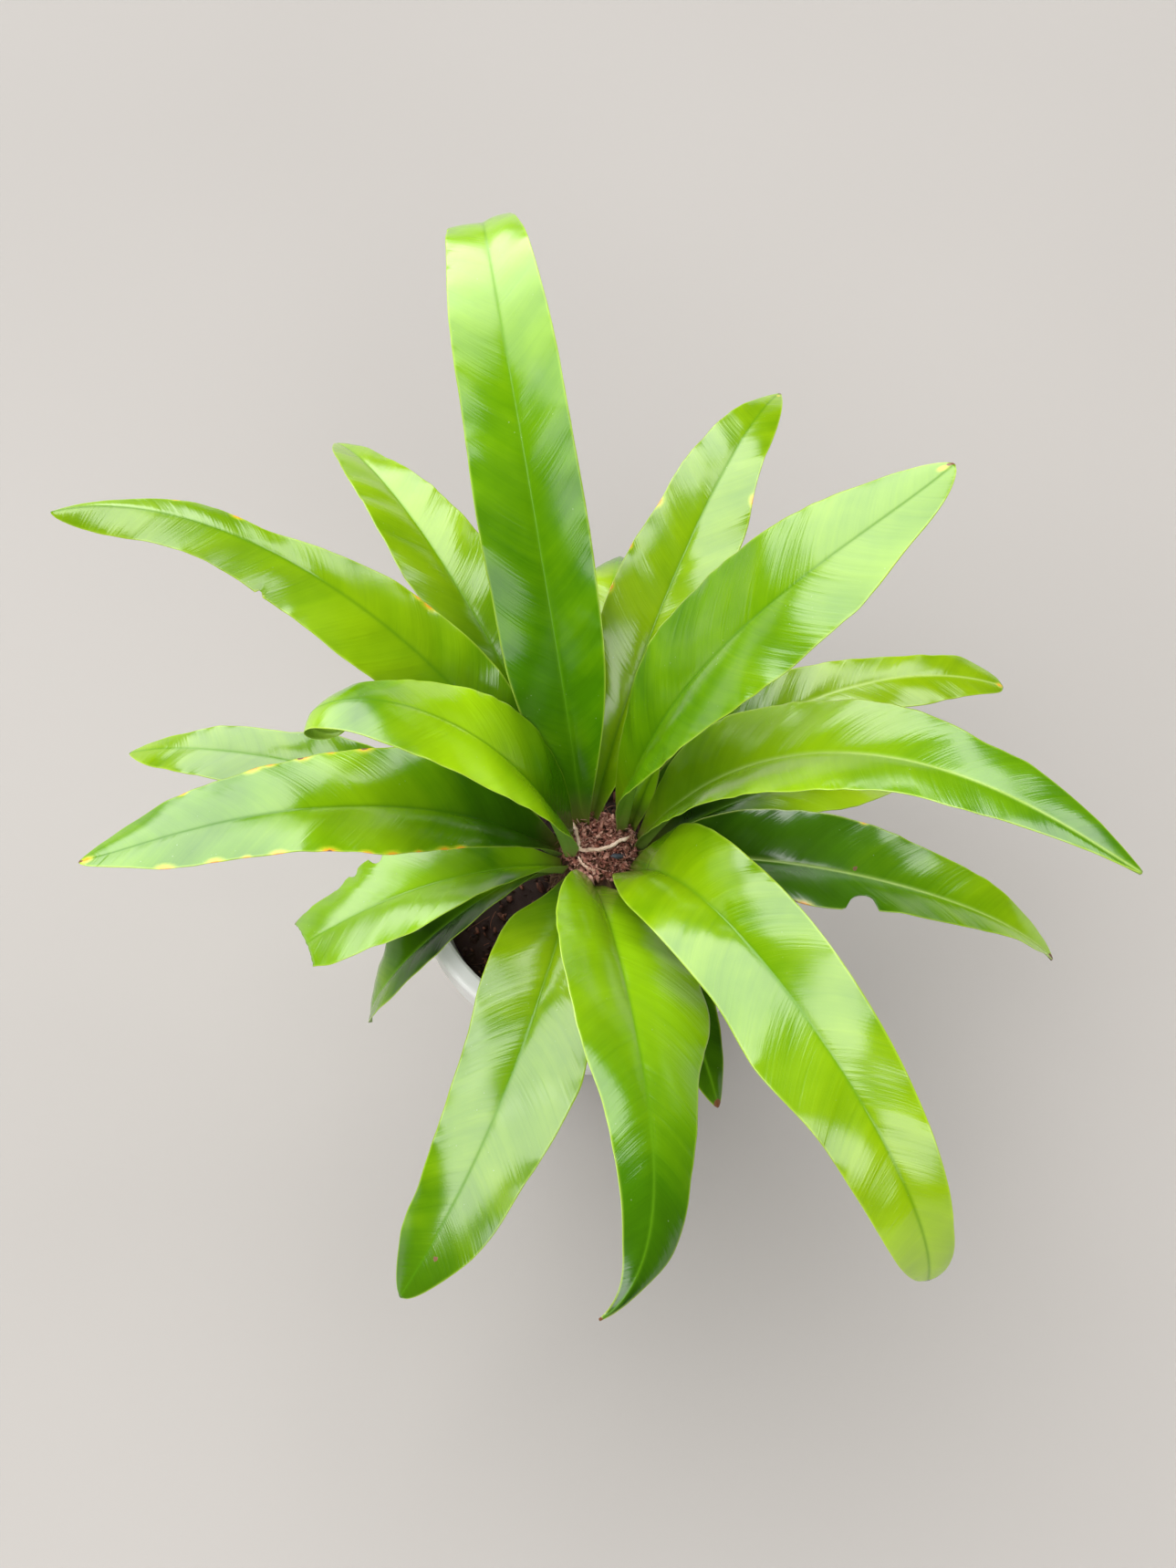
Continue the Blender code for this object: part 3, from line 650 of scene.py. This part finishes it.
def build_frond(f, look, leaf, seed):
    """One frond as a thin shell, with its waves, swellings, keel and damage."""
    rng = np.random.default_rng(seed)
    table_points, table_side, table_up = spine(f)
    t = np.concatenate((-HALF_COLUMNS[:0:-1], HALF_COLUMNS))
    rows = int(max(40, f.length * f.torn / ROW_SPACING))
    share = np.linspace(0, 1, rows + 1)[:, None]
    along = share * column_ends(f, t, rng)[None, :]
    hand = np.sign(t)[None, :]
    half = half_width(f, along)
    half = half * np.where(hand > 0, fullness(look.left, along), fullness(look.right, along))
    magnitude = np.abs(t)[None, :]
    reach = magnitude - nick_inset(f, look, along, hand) / np.maximum(half, 0.001) * magnitude**3
    wide = half * reach
    lift = np.radians(CHANNEL * (1 - along) ** 1.5 + f.arch * along)
    belly = half / (f.width / 2)
    wave = np.sin(2 * pi * (f.waves * along + f.phase + 0.35 * (hand > 0)))
    distance = along * f.length
    phases = rng.uniform(0, 2 * pi, 4)
    lobes = np.sin(2 * pi * (distance - 0.016 * magnitude) / look.pitch + phases[0] + 1.7 * (hand > 0)
                   + 0.9 * np.sin(2 * pi * distance / (look.pitch * 3.1) + phases[1]))
    crimp = np.sin(2 * pi * distance / CRIMP_PITCH + phases[2] + 2.0 * (hand > 0)
                   + 1.3 * np.sin(2 * pi * distance / 0.041 + phases[3]))
    growing = np.clip(along / 0.25, 0, 1)
    height = wide * np.sin(lift) + 0.7 * f.ripple * magnitude**2 * belly * wave
    height += look.camber * half * (reach - reach**2) * growing
    height += look.quilt * lobes * (4 * magnitude * (1 - 0.55 * magnitude)).clip(0, 1) * belly * growing
    height += look.crimp * crimp * np.clip((magnitude - 0.72) / 0.28, 0, 1) ** 2 * belly * growing
    # A narrow groove along the upper side of the midrib, with a fine ridge in it
    off = wide * 1000
    height -= 0.00014 * np.exp(-(off / 1.2) ** 2) * (1 - 0.6 * along)
    height += 0.00006 * np.exp(-(off / 0.45) ** 2)
    centre = at(table_points, along)
    side = at(table_side, along)
    up = at(table_up, along)
    upper = centre + side * (hand * wide * np.cos(lift))[..., None] + up * height[..., None]
    normal = up * np.cos(lift)[..., None] - side * (hand * np.sin(lift))[..., None]
    keel = np.exp(-(off / (2.2 - 1.2 * along)) ** 2)
    thick = 0.00046 + keel * (0.0006 + 0.0022 * (1 - along) ** 1.6)
    thick = thick * (1 - 0.55 * np.clip((magnitude - 0.9) / 0.1, 0, 1) ** 2)
    lower = upper - normal * thick[..., None]
    # Per-point values for the material
    # Painted shade in the tones as well as the leaf's own colour: darker towards the crown and on fronds that
    # lie under others
    shaded_tone = np.interp(along, (0.03, 0.25, 0.5, 0.75, 1.0), look.shaded_tones)
    # Painted shade and light: a little darker in the hollows between the swellings and lighter on their
    # crests
    shaded_tone = shaded_tone + 0.03 * lobes * magnitude
    edge_off = (half - wide) * 1000
    spread = {
        "shaded_tone": shaded_tone,
        "across": hand * off,
        "along": distance * 1000,
        "vein": distance * 1000 - off * (0.62 + 0.25 * magnitude),
        "seed": np.full_like(along, seed * 7.3),
        "rib": np.exp(-(off / (1.0 - 0.5 * along)) ** 2),
        "rib_tone": np.full_like(along, look.rib),
        "gloss": look.gloss * fullness(look.shine, along),
        "cool": np.full_like(along, look.cool),
        "edge": np.clip(1 - edge_off / EDGE_WIDTH, 0, 1) * np.clip(along / 0.1, 0, 1) * (magnitude > 0.5),
        "foot": np.clip(1 - distance / 0.020, 0, 1) ** 1.2,
        "yellow": spots(f, along, hand * reach, half, look.yellow),
        "brown": spots(f, along, hand * reach, half, look.brown),
    }
    values = {key: np.concatenate((v.ravel(), v.ravel())) for key, v in spread.items()}
    values["under"] = np.repeat((0.0, 1.0), along.size)
    points = np.vstack((upper.reshape(-1, 3), lower.reshape(-1, 3)))
    faces = shell_faces(rows, len(t))
    add_mesh("leaf_" + f.name, points, faces, leaf, ("frond_" + f.name,), values)


def spots(f, along, across, half, places):
    """Soft-edged spots, 1 in the middle of each and drawn out along the frond."""
    total = np.zeros_like(along)
    for fraction, t, radius in places:
        away = np.hypot((along - fraction) * f.length * 0.6, (across - t) * half) / radius
        total = np.maximum(total, np.clip(1.2 - away, 0, 1) ** 1.4)
    return total


# ---------------------------------------------------------------- crown, mix and roots


CRUMB_POINTS = np.array(((1, 0, 0), (0.3, 0.95, 0.1), (-0.8, 0.6, -0.1), (-0.85, -0.55, 0.1),
                         (0.25, -0.95, -0.1), (0.35, 0.3, 0.8), (-0.5, 0.1, 0.75),
                         (0.3, -0.35, -0.8), (-0.4, 0.2, -0.75)), float)
CRUMB_FACES = ((0, 1, 5), (1, 6, 5), (1, 2, 6), (2, 3, 6), (3, 5, 6), (3, 4, 5), (4, 0, 5),
               (1, 0, 7), (0, 4, 7), (4, 3, 7), (3, 8, 7), (3, 2, 8), (2, 1, 8), (1, 7, 8))


def turn(rng, flat):
    """A random turn, which keeps a crumb mostly lying down when flat is near 1."""
    yaw = rng.uniform(0, 2 * pi)
    pitch = rng.normal(0, (1 - flat) * 1.2 + 0.05)
    roll = rng.normal(0, (1 - flat) * 1.2 + 0.05)
    cz, sz, cy, sy, cx, sx = cos(yaw), sin(yaw), cos(pitch), sin(pitch), cos(roll), sin(roll)
    return (np.array(((cz, -sz, 0), (sz, cz, 0), (0, 0, 1)))
            @ np.array(((cy, 0, sy), (0, 1, 0), (-sy, 0, cy)))
            @ np.array(((1, 0, 0), (0, cx, -sx), (0, sx, cx))))


def scatter(rng, places, sizes, flat=0.6):
    """Irregular crumbs, one at each place.  Returns points, faces and a tint for each point."""
    points, faces, tints = [], [], []
    for (x, y, z), size in zip(places, sizes):
        stretch = np.array((rng.uniform(0.8, 1.7), rng.uniform(0.5, 1.0), rng.uniform(0.3, 0.7))) * size
        shape = CRUMB_POINTS * (1 + rng.uniform(-0.22, 0.22, CRUMB_POINTS.shape)) * stretch
        first = len(points) * len(CRUMB_POINTS)
        points.append(shape @ turn(rng, flat).T + (x, y, z))
        faces += [tuple(first + k for k in face) for face in CRUMB_FACES]
        tints.append(np.full(len(CRUMB_POINTS), np.clip(rng.normal(0.48, 0.30), 0, 1)))
    return np.vstack(points), faces, np.concatenate(tints)


def tube_faces(rings, sides, first=0):
    """Quads between rings of points, starting at one ring."""
    faces = []
    for k in range(first, first + rings - 1):
        for s in range(sides):
            n = (s + 1) % sides
            faces.append((k * sides + s, k * sides + n, (k + 1) * sides + n, (k + 1) * sides + s))
    return faces


def cap(ring, sides):
    return tuple(range(ring * sides, (ring + 1) * sides))


def around(radius, angle, level):
    """Points at a radius, an angle and a height round the pot's axis."""
    return np.stack((radius * np.cos(angle), radius * np.sin(angle), level), 1)


def strand(route, radii, sides):
    """A closed tube along a route, with a radius at each point."""
    route = np.asarray(route, float)
    tangents = np.gradient(route, axis=0)
    tangents /= np.linalg.norm(tangents, axis=1)[:, None]
    helper = np.array((0.0, 0.0, 1.0)) if abs(tangents[0][2]) < 0.9 else np.array((1.0, 0.0, 0.0))
    points = []
    across = np.cross(helper, tangents[0])
    for centre, tangent, radius in zip(route, tangents, radii):
        across = across - tangent * np.dot(across, tangent)
        across /= np.linalg.norm(across)
        up = np.cross(tangent, across)
        for s in range(sides):
            angle = 2 * pi * s / sides
            points.append(centre + radius * (across * cos(angle) + up * sin(angle)))
    faces = tube_faces(len(route), sides)
    faces += [cap(0, sides)[::-1], cap(len(route) - 1, sides)]
    return np.array(points), faces


def fibres(rng, starts, headings, lengths, thickness, lift, fall=0.0):
    """Fine curved fibres.  Returns points, faces and tints."""
    all_points, all_faces, tints = [], [], []
    total = 0
    for start, heading, length in zip(starts, headings, lengths):
        count = 9
        tip, bearing, climb = np.array(start, float), heading, rng.normal(lift, 0.25)
        turn_rate = rng.normal(0, 0.5)
        route = [tip]
        for _ in range(count - 1):
            bearing += turn_rate * 0.35 + rng.normal(0, 0.12)
            climb += rng.normal(-fall, 0.12)
            step = length / (count - 1)
            tip = tip + step * np.array((cos(bearing) * cos(climb), sin(bearing) * cos(climb), sin(climb)))
            route.append(tip)
        radius = thickness * rng.uniform(0.6, 1.4)
        radii = radius * np.linspace(1.0, 0.45, count)
        points, faces = strand(route, radii, 5)
        all_points.append(points)
        all_faces += [tuple(total + k for k in face) for face in faces]
        tints.append(np.full(len(points), np.clip(rng.normal(0.55, 0.25), 0, 1)))
        total += len(points)
    return np.vstack(all_points), all_faces, np.concatenate(tints)


def join(*parts):
    points, faces, tints = [], [], []
    total = 0
    for part_points, part_faces, part_tints in parts:
        points.append(part_points)
        faces += [tuple(total + k for k in face) for face in part_faces]
        tints.append(part_tints)
        total += len(part_points)
    return np.vstack(points), faces, np.concatenate(tints)


def inner_radius(height):
    """Radius of the pot's inner wall at a height."""
    share = (height - POT_FLOOR) / (POT_HEIGHT - POT_FLOOR)
    return INNER_FOOT_RADIUS + share * (INNER_RIM_RADIUS - INNER_FOOT_RADIUS)


def turned(radii, heights, angles):
    """Rings of points.  A radius is one number, or one for each angle."""
    rings = [around(radius + 0 * angles, angles, np.full(len(angles), height))
             for radius, height in zip(radii, heights)]
    return np.vstack(rings)


def soil_level(share):
    """Height of the mix at a share of the way from the axis to the wall."""
    return SOIL_EDGE + (SOIL_TOP - SOIL_EDGE) * np.clip((1 - share) / 0.6, 0, 1)


def build_mix(look):
    """Potting mix: a filled body under a lumpy top, with bark chips and fibres lying on it."""
    rng = np.random.default_rng(21)
    segments = 96
    heights, radii = [0.0034], [inner_radius(0.0034) - 0.004]
    for height in np.linspace(0.0075, 0.108, 16):
        heights.append(height)
        radii.append(inner_radius(height) - 0.0004)
    edge = inner_radius(SOIL_EDGE) - 0.0004
    lumps = [rng.normal(0, 1, 3) for _ in range(26)]
    angles = 2 * pi * np.arange(segments) / segments
    sides = turned(radii, heights, angles)
    shares = np.concatenate((np.linspace(1.0, 0.93, 4), np.linspace(0.90, 0.06, 30)))
    top = []
    for share in shares:
        radius = edge * share
        x, y = radius * np.cos(angles), radius * np.sin(angles)
        z = np.full(segments, soil_level(share) - 0.0009)
        for fx, fy, phase in lumps:
            z += 0.00020 * np.sin(x * 260 * fx + y * 260 * fy + phase * 6)
        z -= 0.002 * np.clip((share - 0.93) / 0.07, 0, 1)
        top.append(np.stack((x, y, z), 1))
    points = np.vstack([sides] + top)
    rings = len(radii) + len(shares)
    faces = tube_faces(rings, segments) + [cap(0, segments)[::-1], cap(rings - 1, segments)]
    body = (points, faces, np.full(len(points), 0.22))
    count = 1500
    radius = edge * np.sqrt(rng.uniform(0.09, 0.985, count))
    angle = rng.uniform(0, 2 * pi, count)
    places = around(radius, angle, soil_level(radius / edge) - 0.0006 + rng.uniform(0, 0.0008, count))
    sizes = np.clip(rng.lognormal(-0.1, 0.5, count), 0.4, 2.6) * 0.00125
    sizes = np.minimum(sizes, (edge - radius) * 0.5 + 0.0004)
    chips = scatter(rng, places, sizes)
    count = 150
    radius = edge * np.sqrt(rng.uniform(0.12, 0.80, count))
    angle = rng.uniform(0, 2 * pi, count)
    starts = around(radius, angle, np.full(count, SOIL_TOP + 0.0002))
    threads = fibres(rng, starts, rng.uniform(0, 2 * pi, count), rng.uniform(0.006, 0.015, count), 0.00017,
                     lift=0.02)
    threads[0][:, 2] = np.clip(threads[0][:, 2], SOIL_EDGE, SOIL_TOP + 0.0022)
    reach = np.hypot(threads[0][:, 0], threads[0][:, 1])
    threads[0][:, :2] *= np.minimum(1, (edge - 0.0004) / reach)[:, None]
    points, faces, tints = join(body, chips, threads)
    add_mesh("potting_mix_loose", points, faces, look, ("potting_mix",), {"tint": tints})


def build_stem(look):
    """The short stem: a ridged core set with fine fibres round the frond feet."""
    rng = np.random.default_rng(31)
    heights = np.linspace(SOIL_TOP + 0.0004, STEM_TOP + 0.0002, 26)
    radii = np.interp(heights, (0.1199, 0.130, 0.137, 0.1435, 0.149, 0.1495),
                      (0.0222, 0.0202, 0.0188, 0.0148, 0.0105, 0.0092))
    segments = 120
    angles = 2 * pi * np.arange(segments) / segments
    rough = []
    for k in range(len(heights)):
        ridge = 0.00045 * np.sin(angles * 23 + 0.6 * sin(k * 0.8)) + 0.0003 * np.sin(angles * 41 + k * 0.5)
        rough.append(radii[k] + (ridge - 0.0006 + rng.normal(0, 0.00012, segments)))
    points = turned(rough, heights, angles)
    last = len(heights) - 1
    faces = tube_faces(last + 1, segments) + [cap(0, segments)[::-1], cap(last, segments)]
    body = (points, faces, np.clip(0.35 + 0.3 * np.sin(np.tile(angles, len(heights)) * 23), 0, 1))
    count = 420
    level = rng.uniform(0.1215, STEM_TOP, count)
    angle = rng.uniform(0, 2 * pi, count)
    radius = np.interp(level, heights, radii) - 0.0004
    starts = around(radius, angle, level)
    hairs = fibres(rng, starts, angle + rng.normal(0, 0.5, count), rng.uniform(0.003, 0.0075, count), 0.00016,
                   lift=0.35, fall=0.16)
    points, faces, tints = join(body, hairs)
    add_mesh("crown_stem_fibrous", points, faces, look, ("crown_stem",), {"tint": tints})


def build_litter(look):
    """Loose reddish crumbs and fibres caught between the frond feet."""
    rng = np.random.default_rng(41)
    count = 1100
    radius = 0.0160 * np.sqrt(rng.uniform(0, 1, count))
    angle = rng.uniform(0, 2 * pi, count)
    dome = LITTER_TOP - 0.0006 - 0.0034 * (radius / 0.0125) ** 2
    level = dome - rng.uniform(0, 0.0020, count)
    places = around(radius, angle, level)
    sizes = np.clip(rng.lognormal(-0.1, 0.5, count), 0.4, 2.6) * 0.00078
    crumbs = scatter(rng, places, sizes, 0.4)
    count = 170
    radius = 0.015 * np.sqrt(rng.uniform(0, 1, count))
    angle = rng.uniform(0, 2 * pi, count)
    starts = around(radius, angle, np.full(count, LITTER_TOP - 0.0018))
    threads = fibres(rng, starts, rng.uniform(0, 2 * pi, count), rng.uniform(0.003, 0.008, count), 0.00013,
                     lift=0.1)
    points, faces, tints = join(crumbs, threads)
    add_mesh("crown_litter_crumbs", points, faces, look, ("crown_litter",), {"tint": tints})


def smooth_route(route, count):
    """Evenly read points on a smooth curve through a route given in millimetres, in metres."""
    knots = np.array(route) / 1000
    padded = np.vstack((2 * knots[0] - knots[1], knots, 2 * knots[-1] - knots[-2]))
    points = []
    for u in np.linspace(0, len(knots) - 1.0001, count):
        k, v = int(u), u - int(u)
        a, b, c, d = padded[k : k + 4]
        points.append(0.5 * (2 * b + (c - a) * v + (2 * a - 5 * b + 4 * c - d) * v**2
                             + (3 * b - a - 3 * c + d) * v**3))
    return np.array(points)


def build_root(name, node_name, route, radius, look, seed):
    rng = np.random.default_rng(seed)
    count = 90
    points = smooth_route(route, count)
    places = np.linspace(0, 1, count)
    points += 0.00022 * np.stack([smooth_noise(rng, places, 0.16) for _ in range(3)], 1)
    radii = radius * (1 + 0.14 * smooth_noise(rng, places, 0.12) + 0.06 * smooth_noise(rng, places, 0.05))
    radii = radii * np.clip(np.minimum(places, 1 - places) / 0.05, 0.3, 1) ** 0.5
    body, faces = strand(points, radii, 14)
    add_mesh(name, body, faces, look, (node_name,))


def build_chip(look):
    rng = np.random.default_rng(51)
    centre = (0.0078, -0.0070, 0.1536)
    points, faces, tints = scatter(rng, [centre], [0.0031], 0.5)
    add_mesh("charcoal_chip_rough", points, faces, look, ("charcoal_chip",), {"tint": tints})


# ---------------------------------------------------------------- surroundings


def build_floor():
    made, tree, shader = new_material("floor_pale")
    shade = noise(tree, place(tree), 1.2, 2.0)
    grey = ramp(tree, shade, ((0.3, (0.315, 0.297, 0.278)), (0.7, (0.345, 0.326, 0.307))))
    plug(tree, shader.inputs["Base Color"], grey)
    shader.inputs["Roughness"].default_value = 0.85
    mesh = bpy.data.meshes.new("floor")
    size = 8.0
    corners = [(-size, -size, 0), (size, -size, 0), (size, size, 0), (-size, size, 0)]
    mesh.from_pydata(corners, [], [(0, 1, 2, 3)])
    mesh.materials.append(made)
    floor = bpy.data.objects.new("floor", mesh)
    bpy.context.scene.collection.objects.link(floor)


def direction(azimuth, elevation):
    a, e = radians(azimuth), radians(elevation)
    return Vector((cos(e) * cos(a), cos(e) * sin(a), sin(e)))


SKY_BASE = 0.015
SKY_SEEN = 0.80  # brightness of the sky where the camera sees it directly
# Bright patches: azimuth, elevation, cosine where it starts, cosine where it is full, strength
SKY = (
    (123, 42, 0.77, 0.85, 4.0),
    (206, 52, 0.90, 0.96, 4.3),
    (-88, 33, 0.92, 0.98, 3.4),
    (48, 47, 0.95, 0.98, 3.6),
)


def build_world():
    """A dim even sky with soft bright patches, like the soft boxes of a studio."""
    world = bpy.data.worlds.new("soft_sky")
    bpy.context.scene.world = world
    world.use_nodes = True
    tree = world.node_tree
    background = tree.nodes["Background"]
    ray = node(tree, "ShaderNodeTexCoord").outputs["Generated"]
    total = None
    for azimuth, elevation, start, end, strength in SKY:
        dot = node(tree, "ShaderNodeVectorMath", operation="DOT_PRODUCT")
        tree.links.new(ray, dot.inputs[0])
        dot.inputs[1].default_value = direction(azimuth, elevation)
        lobe = node(tree, "ShaderNodeMapRange", interpolation_type="SMOOTHSTEP")
        tree.links.new(dot.outputs["Value"], lobe.inputs["Value"])
        lobe.inputs["From Min"].default_value = start
        lobe.inputs["From Max"].default_value = end
        lobe.inputs["To Max"].default_value = strength
        total = lobe.outputs[0] if total is None else plus(tree, total, lobe.outputs[0])
    light = plus(tree, total, SKY_BASE)
    seen = node(tree, "ShaderNodeLightPath").outputs["Is Camera Ray"]
    background.inputs["Color"].default_value = (1.0, 1.0, 1.0, 1.0)
    mixed = node(tree, "ShaderNodeMix", data_type="FLOAT")
    plug(tree, mixed.inputs[0], seen)
    plug(tree, mixed.inputs[2], light)
    plug(tree, mixed.inputs[3], SKY_SEEN)
    plug(tree, background.inputs["Strength"], mixed.outputs[0])


# Fitted to the pot's lip
CAMERA_PLACE = (-0.0047, -0.2469, 0.6681)
CAMERA_TILT = 28  # degrees up from straight down
LENS = 31.41


def build_camera():
    data = bpy.data.cameras.new("camera")
    data.sensor_width = 36.0
    data.lens = LENS
    data.clip_start = 0.01
    camera = bpy.data.objects.new("camera", data)
    camera.location = CAMERA_PLACE
    camera.rotation_euler = (radians(CAMERA_TILT), 0.0, 0.0)
    bpy.context.scene.collection.objects.link(camera)
    bpy.context.scene.camera = camera


def panel(name, azimuth, elevation, away, size, energy):
    """A soft box that faces the plant."""
    data = bpy.data.lights.new(name, "AREA")
    data.shape = "SQUARE"
    data.size = size
    data.energy = energy
    light = bpy.data.objects.new(name, data)
    where = direction(azimuth, elevation) * away
    light.location = where
    light.rotation_euler = (where - Vector((0, 0, 0.15))).to_track_quat("Z", "Y").to_euler()
    bpy.context.scene.collection.objects.link(light)
    return light


def build_lights():
    panel("key_panel", 115, 52, 1.7, 1.1, 1.2)
    # The fill lights the lip and the floor, and is kept out of the waxy highlights
    fill = panel("fill_panel", -100, 68, 1.8, 1.6, 12.0)
    fill.visible_glossy = False


def main():
    view = bpy.context.scene.view_settings
    view.view_transform = "Standard"
    build_camera()
    build_lights()
    build_world()
    build_floor()
    leaf = leaf_material()
    for number, f in enumerate(FRONDS):
        build_frond(f, LOOKS[f.name], leaf, number + 1)
    mix = crumb_material("mix_crumbs", (0.006, 0.002, 0.001), (0.036, 0.010, 0.006), (0.30, 0.11, 0.065))
    fibre = crumb_material("stem_fibres", (0.025, 0.010, 0.006), (0.150, 0.070, 0.038), (0.46, 0.28, 0.17))
    litter = crumb_material("litter_crumbs", (0.030, 0.008, 0.006), (0.380, 0.140, 0.100), (0.90, 0.55, 0.44))
    coal = crumb_material("charcoal_rough", (0.018, 0.022, 0.030), (0.045, 0.055, 0.070), (0.13, 0.15, 0.18),
                          rough=0.8)
    root = root_material()
    build_mix(mix)
    build_stem(fibre)
    build_litter(litter)
    build_chip(coal)
    build_root("root_long", "surface_root_long", LONG_ROOT, ROOT_RADIUS, root, 61)
    build_root("root_short", "surface_root_short", SHORT_ROOT, FINE_ROOT_RADIUS, root, 62)
    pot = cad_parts["pot"]
    for holder in pot.material_slots:
        holder.material = pot_material()


main()
